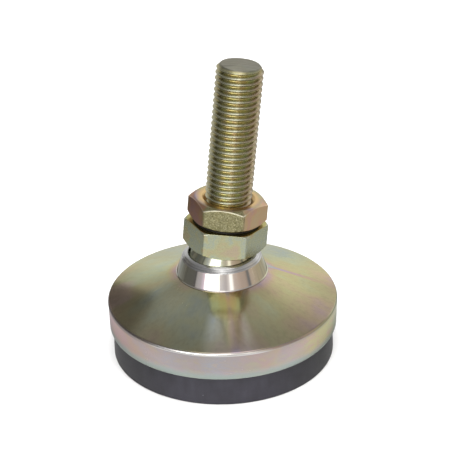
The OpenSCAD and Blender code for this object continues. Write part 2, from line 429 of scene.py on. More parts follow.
def build_collar():
    outside = [  # r, z, corner radius: up the outer wall and over the lip
        (COLLAR_R - 0.6, COLLAR_BOTTOM, 0), (COLLAR_R, 16.4, 0), (COLLAR_R, 22.0, 0),
        (19.5, 22.0, 0.2), (20.0, 22.5, 0.2), (20.0, 25.1, 0.1), (COLLAR_R, 26.8, 0.1),
        (COLLAR_R, PIVOT - 0.1, 0.0), (15.98, PIVOT + 0.0, 0.06), (15.98, PIVOT + 0.16, 0.1),
        (15.66, PIVOT + 0.34, 0.2), (13.80, PIVOT + 5.6, 0.16), (12.55, PIVOT + 6.98, 1.2),
        (11.75, PIVOT + 7.5, 0.25), (11.52, PIVOT + 7.38, 0.12), (11.52, PIVOT + 6.93, 0)]
    under_lip = np.linspace(math.asin(6.93 / LIP_R), math.asin(5.3 / LIP_R), 4)[1:]
    socket = np.linspace(math.asin(5.3 / SOCKET_R), math.asin(-SOCKET_FLOOR / SOCKET_R), 30)
    inside = []
    for sphere_r, angles in ((LIP_R, under_lip), (SOCKET_R, socket)):
        for a in angles:
            inside.append((sphere_r * math.cos(a), PIVOT + sphere_r * math.sin(a), 0))
    floor_z = PIVOT - SOCKET_FLOOR
    inside += [(3.0, floor_z, 0), (0.4, floor_z, 0), (0.4, COLLAR_BOTTOM, 0)]
    profile = rounded_profile(outside + inside, arc_steps=7, max_step=0.9, support=0.08)
    return fit(lathe("socket_collar_body", profile, 288), "base", "socket_collar")


def build_pad():
    corners = [(0.3, 0, 0)]  # r, z, corner radius
    # ring grooves in the underside
    for r in range(8, 33, 6):
        corners += [(r - 1.2, 0, 0.25), (r - 1.1, 1.5, 0.3),
                    (r + 1.1, 1.5, 0.3), (r + 1.2, 0, 0.25)]
    step_z = RIM_BOTTOM - 0.02
    corners += [(38.7, 0, 0.35), (PAD_R, 5, 0), (PAD_R, step_z, 0.1), (37.15, step_z, 0.1),
                (37.1, PAD_TOP, 0.3), (0.3, PAD_TOP, 0)]
    profile = rounded_profile(corners, arc_steps=5, max_step=1.6, support=0.12)
    return fit(lathe("rubber_pad_body", profile, 256), "base", "rubber_pad")


# ---------------------------------------------------------------- shader tools


class Signal:
    """An output socket that takes part in arithmetic: each operator adds one Math node."""

    def __init__(self, graph, socket):
        self.graph = graph
        self.socket = socket

    def __add__(self, other):
        return self.graph.math("ADD", self, other)

    def __radd__(self, other):
        return self.graph.math("ADD", other, self)

    def __sub__(self, other):
        return self.graph.math("SUBTRACT", self, other)

    def __rsub__(self, other):
        return self.graph.math("SUBTRACT", other, self)

    def __mul__(self, other):
        return self.graph.math("MULTIPLY", self, other)

    def __truediv__(self, other):
        return self.graph.math("DIVIDE", self, other)


def swing(signal, by):
    """A 0 to 1 signal centred on zero and scaled."""
    return (signal - 0.5) * by


class Graph:
    """The node tree of a material or world, with short names for the nodes used here.
    Where a value is expected, a number, a tuple or a Signal will do."""

    def __init__(self, owner, output="OutputMaterial"):
        self.owner = owner
        owner.use_nodes = True
        self.tree = owner.node_tree
        self.tree.nodes.clear()
        self.output = self.node(output)

    def node(self, kind, inputs=None, **settings):
        node = self.tree.nodes.new("ShaderNode" + kind)
        for key, value in settings.items():
            setattr(node, key, value)
        for key, value in (inputs or {}).items():
            self.put(node.inputs[key], value)
        return node

    def put(self, socket, value):
        if isinstance(value, Signal):
            self.tree.links.new(value.socket, socket)
            return
        if socket.type == "RGBA" and len(value) == 3:
            value = (*value, 1)
        socket.default_value = value

    def out(self, node, key=0):
        return Signal(self, node.outputs[key])

    def math(self, operation, *values):
        return self.out(self.node("Math", dict(enumerate(values)), operation=operation))

    def vec(self, x, y, z):
        return self.out(self.node("CombineXYZ", {0: x, 1: y, 2: z}))

    def split(self, vector):
        node = self.node("SeparateXYZ", {0: vector})
        return [self.out(node, i) for i in range(3)]

    def loc(self):
        """Place in mm in the piece's own upright frame."""
        return self.out(self.node("Attribute", attribute_name="loc"), "Vector")

    def object_mm(self):
        """Object coordinates in mm."""
        coords = self.out(self.node("TexCoord"), "Object")
        return self.out(self.node("VectorMath", {0: coords, "Scale": 1000.0}, operation="SCALE"))

    def azimuth(self, x, y):
        """In turns: 0 in front, +0.25 on the right."""
        return self.math("ARCTAN2", x, y * -1.0) / (2 * math.pi)

    def radius(self, x, y):
        return self.math("SQRT", x * x + y * y)

    def polar(self):
        """loc's x, y and z, and its azimuth in turns and radius in mm."""
        x, y, z = self.split(self.loc())
        return x, y, z, self.azimuth(x, y), self.radius(x, y)

    def noise(self, vector, scale, detail, rough, distort=0.0):
        return self.out(self.node("TexNoise", {
            "Vector": vector, "Scale": scale, "Detail": detail, "Roughness": rough,
            "Distortion": distort}))

    def voronoi(self, vector, scale, feature="F1"):
        inputs = {"Vector": vector, "Scale": scale}
        return self.out(self.node("TexVoronoi", inputs, feature=feature), "Distance")

    def ramp(self, signal, stops):
        """Stops are (position, colour), where a single number stands for a grey."""
        node = self.node("ValToRGB", {0: signal})
        elements = node.color_ramp.elements
        while len(elements) > 1:
            elements.remove(elements[-1])
        for i, (position, colour) in enumerate(stops):
            if not isinstance(colour, tuple):
                colour = (colour,) * 3
            if i:
                element = elements.new(position)
            else:
                element = elements[0]
                element.position = position
            element.color = (*colour, 1)
        return self.out(node)

    def around(self, azimuth, stops):
        """A ramp round the axis: stops are in degrees, -180 to 180, 0 in front, + right."""
        return self.ramp(azimuth + 0.5, [((deg + 180) / 360.0, c) for deg, c in stops])

    def along(self, signal, stops, span=None):
        """A ramp with stops in the signal's own unit, over span or from first to last stop."""
        low, high = span or (stops[0][0], stops[-1][0])
        part = self.remap(signal, at=(low, high), smooth=False)
        return self.ramp(part, [((at - low) / (high - low), c) for at, c in stops])

    def film(self, thickness):
        """The chromate's colour. The sequence repeats at every whole number."""
        return self.ramp(self.math("FRACT", thickness + 1.0), FILM)

    def mix(self, colour, other, by, mode="MIX"):
        inputs = {0: by, 6: colour, 7: other}
        return self.out(self.node("Mix", inputs, data_type="RGBA", blend_type=mode), 2)

    def tint(self, colour, factor):
        return self.mix(colour, factor, by=1.0, mode="MULTIPLY")

    def remap(self, signal, at, to=(0, 1), smooth=True):
        """Goes from to[0] to to[1] as the signal goes from at[0] to at[1]."""
        return self.out(self.node(
            "MapRange", {0: signal, 1: at[0], 2: at[1], 3: to[0], 4: to[1]},
            interpolation_type="SMOOTHSTEP" if smooth else "LINEAR"))

    def band(self, signal, span, soft):
        """1 inside the span, falling to 0 over soft outside it."""
        low, high = span
        up = self.remap(signal, at=(low - soft, low))
        down = self.remap(signal, at=(high, high + soft), to=(1, 0))
        return up * down

    def hex_edge(self, across_flats, turn, cone_r, top):
        """1 on the arc where each flat of a hexagon meets the 30 degree chamfer that starts
        at radius cone_r and height top."""
        x, y, z, azimuth, radius = self.polar()
        degrees = azimuth * 360.0 + (360.0 - turn + 30.0)
        off_middle = self.math("MODULO", degrees, 60.0) - 30.0
        plane = radius * self.math("COSINE", self.math("RADIANS", off_middle))
        cone = cone_r + (top - z) * math.sqrt(3)
        apothem = across_flats / 2
        near = self.band(plane, span=(apothem - 0.30, apothem + 0.10), soft=0.06)
        return near * self.band(radius - cone, span=(-0.16, 0.10), soft=0.06)

    def blend_normal(self, normal, rest, by):
        """Blend a normal towards a direction given in the object's frame."""
        turned = self.out(self.node(
            "VectorTransform", {0: rest},
            vector_type="NORMAL", convert_from="OBJECT", convert_to="WORLD"))
        mixed = self.node("Mix", {0: by, 4: normal, 5: turned}, data_type="VECTOR")
        unit = self.node("VectorMath", {0: self.out(mixed, 1)}, operation="NORMALIZE")
        return self.out(unit)

    def bump(self, height, strength, distance, normal=None):
        inputs = {"Height": height, "Strength": strength, "Distance": distance}
        if normal is not None:
            inputs["Normal"] = normal
        return self.out(self.node("Bump", inputs))

    def finish(self, shader):
        self.tree.links.new(shader.outputs[0], self.output.inputs[0])
        return self.owner

    def principled(self, **inputs):
        """Inputs are named as on the node, with _ for a space. Returns the material."""
        named = {key.replace("_", " "): value for key, value in inputs.items()}
        return self.finish(self.node("BsdfPrincipled", named))

    def emission(self, colour):
        return self.finish(self.node("Emission", {0: colour}))


def new_material(name):
    return Graph(bpy.data.materials.new(name))


def dress(obj, material):
    obj.data.materials.clear()
    obj.data.materials.append(material)


# ---------------------------------------------------------------- zinc materials

FILM = [  # the chromate's interference colours, as the film gets thicker
    (0.00, (0.42, 0.49, 0.43)), (0.13, (0.52, 0.55, 0.36)), (0.28, (0.55, 0.51, 0.28)),
    (0.42, (0.57, 0.45, 0.30)), (0.54, (0.54, 0.40, 0.38)), (0.64, (0.47, 0.40, 0.49)),
    (0.75, (0.43, 0.45, 0.46)), (0.87, (0.46, 0.52, 0.42)), (1.00, (0.52, 0.54, 0.34)),
]

# Film thickness round the dish: position (0 and 1 back, 0.25 left, 0.5 front, 0.75 right), value
CONE_FILM = [
    (0.0, 0.14), (0.17, 0.10), (0.25, 0.22), (0.33, 0.12), (0.42, 0.10), (0.52, 0.27),
    (0.60, 0.27), (0.70, 0.33), (0.80, 0.26), (0.90, 0.12), (1.0, 0.14)]
RIM_FILM = [
    (0.0, 0.55), (0.22, 0.62), (0.33, 0.50), (0.40, 0.60), (0.50, 0.60), (0.56, 0.47),
    (0.60, 0.52), (0.645, 0.34), (0.68, 0.29), (0.72, 0.15), (0.80, 0.10), (1.0, 0.55)]
# Degrees round the axis, colour: pink on the left, grey-lilac in front, then peach, gold and green
RIM_COLOUR = [
    (-180, (0.50, 0.42, 0.38)), (-100, (0.47, 0.42, 0.42)), (-80, (0.51, 0.41, 0.43)),
    (-62, (0.56, 0.37, 0.40)), (-50, (0.56, 0.385, 0.34)), (-40, (0.49, 0.39, 0.37)),
    (-28, (0.46, 0.415, 0.42)), (-16, (0.47, 0.39, 0.36)), (-4, (0.45, 0.43, 0.45)),
    (10, (0.51, 0.42, 0.40)), (20, (0.57, 0.42, 0.38)), (30, (0.50, 0.42, 0.44)),
    (40, (0.53, 0.42, 0.37)), (50, (0.58, 0.47, 0.31)), (60, (0.56, 0.49, 0.29)),
    (70, (0.50, 0.50, 0.31)), (80, (0.45, 0.50, 0.38)), (100, (0.44, 0.49, 0.40)),
    (135, (0.52, 0.48, 0.33)), (180, (0.50, 0.42, 0.38))]
# Degrees round the axis, brightness, share of blue: painted light on the cone, paler at the back
CONE_PAINTED_LIGHT = [
    (-180, 1.25, 1.0), (-120, 1.25, 1.03), (-102, 1.20, 1.0), (-90, 1.12, 1.02),
    (-78, 1.14, 1.08), (-62, 1.0, 1.04), (-46, 1.08, 1.04), (-30, 1.0, 1.0), (90, 1.05, 0.97),
    (105, 1.17, 0.96), (120, 1.26, 0.98), (180, 1.25, 1.0)]
# Radius in mm, angle of the cone's shading normal above level in degrees
CONE_NORMAL = [(16, 70.6), (18.5, 71.7), (21, 73.2), (25.6, 73.4), (29, 72.0)]


def cone_film(m, azimuth, radius, radial, streaks):
    """Film thickness on the cone: sage at the back, gold on the right, in radial bands."""
    broad = m.noise(radial, scale=1.9, detail=3, rough=0.55, distort=0.5)
    return_streaks = streaks
    patches = m.noise(m.loc(), scale=0.055, detail=3, rough=0.5)
    film = m.ramp(azimuth + 0.5, CONE_FILM)
    film = film + swing(broad, by=0.62)
    film = film + swing(return_streaks, by=0.24)
    film = film + swing(patches, by=0.42)
    film = film + m.remap(radius, at=(30, 40), to=(0.0, 0.10))
    film = film + m.remap(radius, at=(16, 20), to=(0.22, 0.0))
    # narrow streaks: lilac on the right shoulder, gold at the front
    bend = (radius - 26) * 0.0006
    lilac = m.band(azimuth + bend, span=(0.266, 0.270), soft=0.008)
    film = film + lilac * m.remap(radius, at=(25, 35), to=(1.0, 0.35)) * 0.30
    gold = m.band(azimuth, span=(0.013, 0.018), soft=0.007)
    return film + gold * 0.12


def rim_colour(m, z, azimuth, unit_x, unit_y):
    """The rim is pinker than the cone, greener low down and on the right."""
    broad = m.noise(m.vec(unit_x, unit_y, z * 0.045), scale=3.4, detail=3, rough=0.55,
                    distort=0.6)
    film = m.ramp(azimuth + 0.5, RIM_FILM)
    film = film + swing(broad, by=0.42)
    film = film + m.remap(z, at=(13.6, 10.8), to=(0, 0.24))
    slanted = m.vec(unit_x, unit_y, (z + azimuth * 30) * 0.05)
    blotch = m.noise(slanted, scale=7.5, detail=4, rough=0.6, distort=0.8)
    colour = m.around(azimuth + swing(broad, by=0.10), RIM_COLOUR)
    colour = m.mix(colour, m.film(film + swing(blotch, by=0.9)), by=0.34)
    pink = m.remap(blotch, at=(0.50, 0.66)) * 0.40
    colour = m.mix(colour, (0.60, 0.40, 0.36), by=pink)
    low = z + swing(broad, by=4.0)
    colour = m.mix(colour, (0.38, 0.45, 0.41), by=m.remap(low, at=(14.0, 11.2), to=(0, 0.80)))
    # painted shade: the rim is toned darker in front, less so near its lower edge
    front = m.band(azimuth, span=(-0.145, 0.15), soft=0.05)
    front = front * m.remap(z, at=(12.2, 14.5), to=(0.25, 1.0))
    colour = m.mix(colour, m.tint(colour, (0.84, 0.90, 0.88)), by=front)
    # the shoulder is a little worn pale all round and has a painted highlight, mostly in front;
    # painted shade darkens it mostly on the left
    wear_and_highlight = m.band(z, span=(19.6, 20.4), soft=0.15) * (
        0.10 + m.band(azimuth, span=(-0.085, 0.045), soft=0.03) * 0.65)
    colour = m.mix(colour, (0.78, 0.77, 0.75), by=wear_and_highlight)
    painted_shade = m.band(z, span=(19.2, 20.5), soft=0.3) * (
        m.remap(azimuth, at=(-0.10, -0.15), to=(0, 0.62))
        + m.remap(azimuth, at=(0.09, 0.14), to=(0, 0.22)))
    return m.mix(colour, (0.20, 0.20, 0.20), by=painted_shade)


def dish_normal(m, z, azimuth, radius, unit_x, unit_y, height):
    """The cone is pressed a little flatter in front than its chord. Turning rings lie on it."""
    tip = m.along(radius, [(r, math.radians(deg)) for r, deg in CONE_NORMAL], span=(15, 35))
    cos, sin = m.math("COSINE", tip), m.math("SINE", tip)
    flatter = m.vec(unit_x * cos, unit_y * cos, sin)
    where = m.band(azimuth, span=(-0.085, 0.095), soft=0.05) * m.remap(z, at=(20.7, 21.2))
    surface = m.out(m.node("NewGeometry"), "Normal")
    normal = m.blend_normal(surface, flatter, by=where)
    return m.bump(height, strength=0.08, distance=0.00008, normal=normal)


def dish_material():
    m = new_material("chromate_dish")
    x, y, z, azimuth, radius = m.polar()
    # unit direction from the axis; bands of colour run outwards as noise on it
    unit_x = x / m.math("MAXIMUM", radius, 1.0)
    unit_y = y / m.math("MAXIMUM", radius, 1.0)
    radial = m.vec(unit_x, unit_y, radius * 0.018)
    streaks = m.noise(radial, scale=7.5, detail=4, rough=0.6)
    film = cone_film(m, azimuth, radius, radial, streaks)
    rim = m.remap(z, at=(20.75, 20.45))
    colour = m.film(film)
    # greyer on the front left
    dull = m.band(azimuth, span=(-0.16, 0.05), soft=0.10) * (1.0 - rim)
    colour = m.mix(colour, (0.50, 0.475, 0.42), by=0.02 + dull * 0.22)
    # a thicker, reddish film on the outer left
    wavy = azimuth + swing(streaks, by=0.05)
    plum = m.band(wavy, span=(-0.262, -0.222), soft=0.02) * m.remap(radius, at=(29, 34))
    colour = m.mix(colour, (0.78, 0.58, 0.56), by=plum * 0.55)
    colour = m.mix(colour, rim_colour(m, z, azimuth, unit_x, unit_y), by=rim)
    # painted shade: darker outwards on the cone, except at the back, with a little random mottling
    fine = m.noise(m.vec(unit_x, unit_y, radius * 0.02), scale=26, detail=3, rough=0.6)
    shade = m.remap(radius, at=(22, 39.5), to=(0, 0.34))
    shade = shade * m.band(azimuth, span=(-0.30, 0.24), soft=0.06)
    shade = shade + m.remap(fine, at=(0.40, 0.75)) * 0.10
    shade = shade * (1.0 - rim)
    colour = m.mix(colour, (0.12, 0.11, 0.085), by=shade)
    # painted light: the cone is paler at the back, and a painted reflection lightens a strip in
    # front, a light column running out towards the rim
    paler = [(deg, (value, value, value * blue)) for deg, value, blue in CONE_PAINTED_LIGHT]
    colour = m.mix(colour, m.tint(colour, m.around(azimuth, paler)), by=1.0 - rim)
    strip = m.band(azimuth, span=(-0.016, 0.032), soft=0.022)
    strip = strip * m.remap(radius, at=(22.5, 25.5))
    strip = strip * m.remap(radius, at=(41, 30), to=(0.45, 1.0))
    colour = m.mix(colour, m.tint(colour, (1.50, 1.55, 2.0)), by=strip * (1.0 - rim))
    # a few dull specks
    specks = m.remap(m.voronoi(m.loc(), scale=0.55), at=(0.10, 0.055))
    clusters = m.noise(m.loc(), scale=0.09, detail=2, rough=0.5)
    specks = specks * m.remap(clusters, at=(0.55, 0.66))
    rings = m.noise(m.vec(0, 0, radius + z * 0.6), scale=2.6, detail=4, rough=0.65)
    # roughness: a floor, then what each feature adds
    rough = 0.10 + rings * 0.05
    rough = rough + streaks * 0.03
    rough = rough + rim * 0.10
    rough = rough + specks * 0.30
    rough = rough + m.band(azimuth, span=(-0.28, -0.14), soft=0.05) * 0.08
    height = rings + fine * 0.25
    normal = dish_normal(m, z, azimuth, radius, unit_x, unit_y, height)
    tangent = m.out(m.node("Tangent", direction_type="RADIAL", axis="Z"))
    return m.principled(
        Base_Color=colour, Metallic=1.0, Roughness=rough, Normal=normal, Anisotropic=0.3,
        Specular_Tint=(0.62, 0.62, 0.60), Tangent=tangent)


# Film tints and painted light round the shank, in the roots and on the crests: degrees, colour
# factor. They paint a highlight a little left of front and shade on the sides
ROOT_FILM_AND_LIGHT = [
    (-180, (0.9, 0.79, 0.6)), (-90, (0.88, 0.80, 0.62)), (-72, (0.88, 0.82, 0.65)),
    (-58, (0.60, 0.56, 0.44)), (-44, (1.20, 1.22, 1.10)), (-33, (1.30, 1.27, 1.08)),
    (-24, (1.36, 1.27, 0.92)), (-14, (1.10, 1.06, 0.84)), (-7, (1.14, 1.04, 0.86)),
    (0, (1.30, 1.18, 1.02)), (7, (1.02, 0.94, 0.70)), (15, (1.0, 0.93, 0.66)),
    (24, (1.04, 1.10, 0.84)), (33, (0.86, 0.96, 0.82)), (44, (0.92, 0.95, 0.85)),
    (58, (0.62, 0.58, 0.42)), (72, (0.75, 0.64, 0.48)), (84, (0.56, 0.47, 0.35)),
    (110, (0.72, 0.62, 0.45)), (180, (0.9, 0.79, 0.6))]
CREST_FILM_AND_LIGHT = [
    (-180, (1, 0.97, 0.9)), (-90, (1.1, 1.1, 1.0)), (-74, (1.25, 1.25, 1.15)),
    (-60, (0.98, 1.0, 0.90)), (-44, (0.95, 0.98, 0.88)), (-28, (0.98, 1.02, 0.98)),
    (-14, (0.95, 1.0, 0.97)), (-6, (0.94, 1.0, 0.98)), (-3, (1.08, 1.12, 1.1)),
    (2, (1.08, 1.12, 1.1)), (7, (0.84, 0.85, 0.82)), (15, (0.73, 0.78, 0.71)),
    (24, (0.86, 0.83, 0.75)), (33, (0.76, 0.72, 0.65)), (44, (0.83, 0.69, 0.66)),
    (58, (0.84, 0.69, 0.58)), (72, (0.95, 0.86, 0.84)), (84, (0.62, 0.58, 0.54)),
    (110, (0.8, 0.78, 0.7)), (180, (1, 0.97, 0.9))]


def thread_colour(m, azimuth, radius, broad, fine):
    """The film differs from crest to root and round the shank. Painted light goes on top: the
    roots are painted darker than the crests, and the tints round the shank paint a highlight a
    little left of front and shade on the sides.
    """
    film = 0.23 + swing(broad, by=0.5)
    film = film + swing(fine, by=0.35)
    crestward = m.remap(radius, at=(6.8, 7.9))
    colour = m.mix(m.film(film), (0.42, 0.40, 0.30), by=0.18)
    wavy = azimuth + swing(broad, by=0.035)
    root_film_and_light = m.around(wavy, ROOT_FILM_AND_LIGHT)
    crest_film_and_light = m.around(wavy, CREST_FILM_AND_LIGHT)
    blotch = m.remap(fine, at=(0.45, 0.6)) * 0.35
    root = m.tint(m.mix(colour, (0.52, 0.44, 0.36), by=blotch), root_film_and_light)
    crest = m.tint(m.mix(colour, (0.54, 0.51, 0.47), by=0.55), crest_film_and_light)
    return m.mix(root, crest, by=crestward)


def stud_hex_colour(m, z, patches, fine):
    film = m.remap(patches, at=(0.34, 0.66), to=(-0.16, 0.44))
    film = film + swing(fine, by=0.12)
    colour = m.mix(m.film(film), (0.51, 0.50, 0.35), by=0.30)
    # painted highlight: the arc where each flat meets the top chamfer is painted lighter
    edge = m.hex_edge(HEX_AF, HEX_TURN, HEX_CONE_TOP, HEX_TOP)
    colour = m.mix(colour, (0.72, 0.72, 0.60), by=edge * 0.55)
    top_face = m.remap(z, at=(HEX_TOP - 0.1, HEX_TOP - 0.02), smooth=False)
    top_face = top_face * m.remap(z, at=(HEX_TOP + 0.2, HEX_TOP + 0.05), smooth=False)
    return m.mix(colour, (0.52, 0.46, 0.16), by=top_face * 0.8)


def neck_normal(m, x, y, z, radius, ball, normal):
    """The neck above the ball is closer to a cone than to the sphere: its shading normal is
    19 degrees above square to the stud's axis."""
    unit_x, unit_y = x / radius, y / radius
    rise = math.tan(math.radians(19))
    lean_y = unit_y * COS_BACK + SIN_BACK * rise
    lean_z = unit_y * -SIN_BACK + COS_BACK * rise
    cone = m.vec(unit_x * COS_SIDE + lean_z * SIN_SIDE, lean_y,
                 unit_x * -SIN_SIDE + lean_z * COS_SIDE)
    neck = ball * m.remap(z, at=(5.8, 6.6), to=(0, 0.9))
    return m.blend_normal(normal, cone, by=neck)


def stud_material():
    m = new_material("chromate_stud")
    x, y, z, azimuth, radius = m.polar()
    loc = m.loc()
    broad = m.noise(loc, scale=0.09, detail=3, rough=0.55, distort=0.3)
    fine = m.noise(loc, scale=0.45, detail=4, rough=0.6)
    patches = m.noise(loc, scale=0.12, detail=4, rough=0.6, distort=0.4)
    colour = stud_hex_colour(m, z, patches, fine)
    ball = m.remap(z, at=(HEX_BOTTOM + 0.02, HEX_BOTTOM - 0.1), smooth=False)
    colour = m.mix(colour, m.mix(colour, (0.62, 0.64, 0.56), by=0.45), by=ball)
    shank = m.remap(z, at=(HEX_TOP + 0.1, HEX_TOP + 0.4), smooth=False)
    colour = m.mix(colour, thread_colour(m, azimuth, radius, broad, fine), by=shank)
    # end face and its chamfer are greyer, with light and dark saw marks on the face
    end = m.remap(z, at=(STUD_END - 0.7, STUD_END - 0.1))
    colour = m.mix(colour, (0.27, 0.262, 0.225), by=end * 0.85)
    saw_lines = m.vec(x * 0.06, y + x * x * 0.03, 0)
    sawn = m.noise(saw_lines, scale=1.1, detail=4, rough=0.65)
    face = m.remap(z, at=(STUD_END - 0.12, STUD_END - 0.02))
    colour = m.mix(colour, (0.44, 0.43, 0.38),
                   by=face * m.remap(sawn, at=(0.44, 0.62), to=(0, 0.62)))
    colour = m.mix(colour, (0.13, 0.125, 0.10),
                   by=face * m.remap(sawn, at=(0.46, 0.34), to=(0, 0.50)))
    rings = m.noise(m.vec(0, 0, radius), scale=5.0, detail=3, rough=0.6)
    scratch = m.noise(m.vec(azimuth * 40, 0, z * 1.5), scale=1.6, detail=4, rough=0.65)
    pits = m.noise(loc, scale=2.2, detail=4, rough=0.65)
    # roughness: smoother on the ball, rougher at the end
    rough = 0.20 + pits * 0.12
    rough = rough - ball * 0.13
    rough = rough + end * 0.10
    # relief: pits off the ball, rings at the end, faint scratches everywhere
    height = pits * (1.0 - ball) + rings * end * 0.8
    height = height + scratch * 0.15
    normal = m.bump(height, strength=0.22, distance=0.00005)
    return m.principled(
        Base_Color=colour, Metallic=1.0, Roughness=rough,
        Normal=neck_normal(m, x, y, z, radius, ball, normal),
        Specular_Tint=(0.62, 0.62, 0.60))


NUT_FLAT_FILM_AND_LIGHT = [  # degrees round the axis, colour: each flat has its own colour, partly film and partly painted reflection of what that flat faces
    (-180, (0.56, 0.44, 0.33)), (-130, (0.50, 0.36, 0.27)), (-100, (0.44, 0.27, 0.19)),
    (-41, (0.40, 0.235, 0.165)), (-37, (0.31, 0.27, 0.15)), (19.5, (0.31, 0.27, 0.15)),
    (23.5, (0.62, 0.45, 0.32)), (80, (0.64, 0.46, 0.35)), (84, (0.52, 0.44, 0.32)),
    (140, (0.50, 0.42, 0.28)), (180, (0.56, 0.44, 0.33))]
NUT_FRONT = 0.018  # the front flat's middle is this many turns left of front


def nut_material():
    m = new_material("chromate_nut")
    x, y, z, azimuth, radius = m.polar()
    loc = m.loc()
    patches = m.noise(loc, scale=0.13, detail=4, rough=0.6, distort=0.5)
    fine = m.noise(loc, scale=0.9, detail=5, rough=0.65)
    film = m.remap(patches, at=(0.36, 0.64), to=(0.16, 0.62))
    film = film + swing(fine, by=0.20)
    # the flat that faces the front is olive and rough from forging
    front = m.remap(m.math("ABSOLUTE", azimuth + NUT_FRONT), at=(0.078, 0.088), to=(1, 0))
    front = front * m.remap(radius, at=(11.6, 11.9))
    film = film - front * 0.26
    bore = m.remap(radius, at=(11.6, 9.2))
    film = film - bore * 0.12
    colour = m.mix(m.film(film), (0.52, 0.42, 0.34), by=0.10)
    side = m.remap(radius, at=(11.5, 11.8))
    # each flat's colour, partly film and partly painted reflection
    flats = m.around(azimuth, NUT_FLAT_FILM_AND_LIGHT)
    mottled = m.tint(flats, m.tint(colour, (2.0, 2.05, 2.3)))
    flats = m.mix(flats, mottled, by=0.5)
    colour = m.mix(colour, flats, by=side * 0.85)
    # near the bore the gold is partly the film's, and its brightness is a painted reflection of
    # the golden glow there
    colour = m.mix(colour, (0.95, 0.66, 0.30), by=bore * 0.75)
    mottle = m.noise(loc, scale=1.15, detail=6, rough=0.7, distort=0.6)
    cells = m.voronoi(loc, scale=1.0, feature="SMOOTH_F1")
    grit = m.noise(loc, scale=2.6, detail=5, rough=0.75)
    colour = m.mix(colour, (0.25, 0.23, 0.11), by=front * 0.55)
    colour = m.mix(colour, (0.12, 0.11, 0.045),
                   by=front * m.remap(mottle, at=(0.48, 0.62)) * 0.65)
    colour = m.mix(colour, (0.66, 0.61, 0.38),
                   by=front * m.remap(grit, at=(0.50, 0.60)) * 0.80)
    # the top chamfer's edge is a little worn all round and has a painted highlight, mostly in
    # front
    wear_and_highlight = m.hex_edge(NUT_AF, NUT_TURN, NUT_CONE, NUT_TOP)
    off_front = m.math("ABSOLUTE", azimuth + NUT_FRONT)
    wear_and_highlight = wear_and_highlight * (0.18 + m.remap(off_front, at=(0.085, 0.095), to=(1, 0)) * 0.75)
    colour = m.mix(colour, (0.88, 0.84, 0.66), by=wear_and_highlight)
    rough = 0.24 + fine * 0.12
    rough = rough + front * 0.10
    # relief: much stronger on the front flat
    height = fine * 0.35 + (mottle + cells * 0.5) * (0.12 + front * 1.1)
    height = height + grit * front * 0.9
    return m.principled(
        Base_Color=colour, Metallic=1.0, Roughness=rough,
        Normal=m.bump(height, strength=0.6, distance=0.00014),
        Specular_Tint=(0.62, 0.6, 0.58))


# ---------------------------------------------------------------- other materials

COLLAR_TINT = [  # degrees round the axis, colour factor: a painted tint of the reflections, warmer on the right
    (-180, (1, 0.97, 0.84)), (-86, (1.0, 0.95, 0.86)), (-74, (0.90, 1.0, 0.90)),
    (-60, (1.0, 1.0, 0.86)), (-44, (1.0, 1.0, 0.93)), (-34, (1.0, 0.99, 1.0)),
    (-26, (1.0, 0.93, 1.0)), (-18, (1, 1, 1)), (20, (1, 0.98, 0.96)), (36, (1.0, 0.98, 0.93)),
    (46, (1.0, 0.93, 0.80)), (58, (1.0, 0.96, 0.74)), (70, (1.0, 0.98, 0.72)),
    (84, (0.98, 1.0, 0.74)), (120, (1, 0.98, 0.80)), (180, (1, 0.97, 0.84))]
COLLAR_LINES = [  # strength of the upright lines: position (0.25 left, 0.5 front), value
    (0.0, 0.5), (0.25, 0.5), (0.40, 0.5), (0.44, 0.15), (0.60, 0.15), (0.64, 0.7),
    (0.75, 0.7), (1.0, 0.5)]


def collar_material():
    m = new_material("bare_turned_steel")
    x, y, z, azimuth, radius = m.polar()
    lip = m.remap(z, at=(35.58, 35.7))
    turned = m.noise(m.vec(0, 0, radius * 1.0 + z * 1.2), scale=3.2, detail=5, rough=0.7)
    warm = m.noise(m.vec(azimuth * 9, 0, z * 0.05), scale=1.0, detail=3, rough=0.6)
    colour = m.ramp(warm, [
        (0.30, (0.66, 0.64, 0.66)), (0.5, (0.69, 0.66, 0.63)), (0.7, (0.70, 0.61, 0.54))])
    # painted tint of the reflections round the collar
    colour = m.tint(colour, m.around(azimuth, COLLAR_TINT))
    colour = m.mix(colour, (0.67, 0.67, 0.675), by=lip * 0.9)
    grooves = m.remap(turned, at=(0.42, 0.62)) * (0.05 + lip * 0.50)
    colour = m.mix(colour, (0.30, 0.295, 0.29), by=grooves)
    # fine up-and-down lines on the wall, from drawing
    drawn = m.noise(m.vec(azimuth * 90, 0, z * 0.04), scale=1.0, detail=3, rough=0.6)
    wall = m.ramp(azimuth + 0.5, COLLAR_LINES) * (1.0 - lip)
    colour = m.mix(colour, (0.42, 0.40, 0.34),
                   by=m.remap(drawn, at=(0.45, 0.65)) * (wall * 0.45))
    rough = 0.05 + turned * 0.05
    rough = rough + lip * 0.17
    height = turned * (0.06 + lip)
    return m.principled(
        Base_Color=colour, Metallic=1.0, Roughness=rough,
        Normal=m.bump(height, strength=0.45, distance=0.00012),
        Specular_Tint=(0.70, 0.70, 0.70))


RUBBER_PAINTED_LIGHT = [  # painted light and shade, paler in front and darker on the sides: position (0.25 left, 0.5 front), colour factor
    (0.0, 0.8), (0.33, 0.55), (0.44, (1.15, 1.12, 1.35)), (0.56, (1.15, 1.12, 1.35)),
    (0.67, 0.52), (1.0, 0.8)]


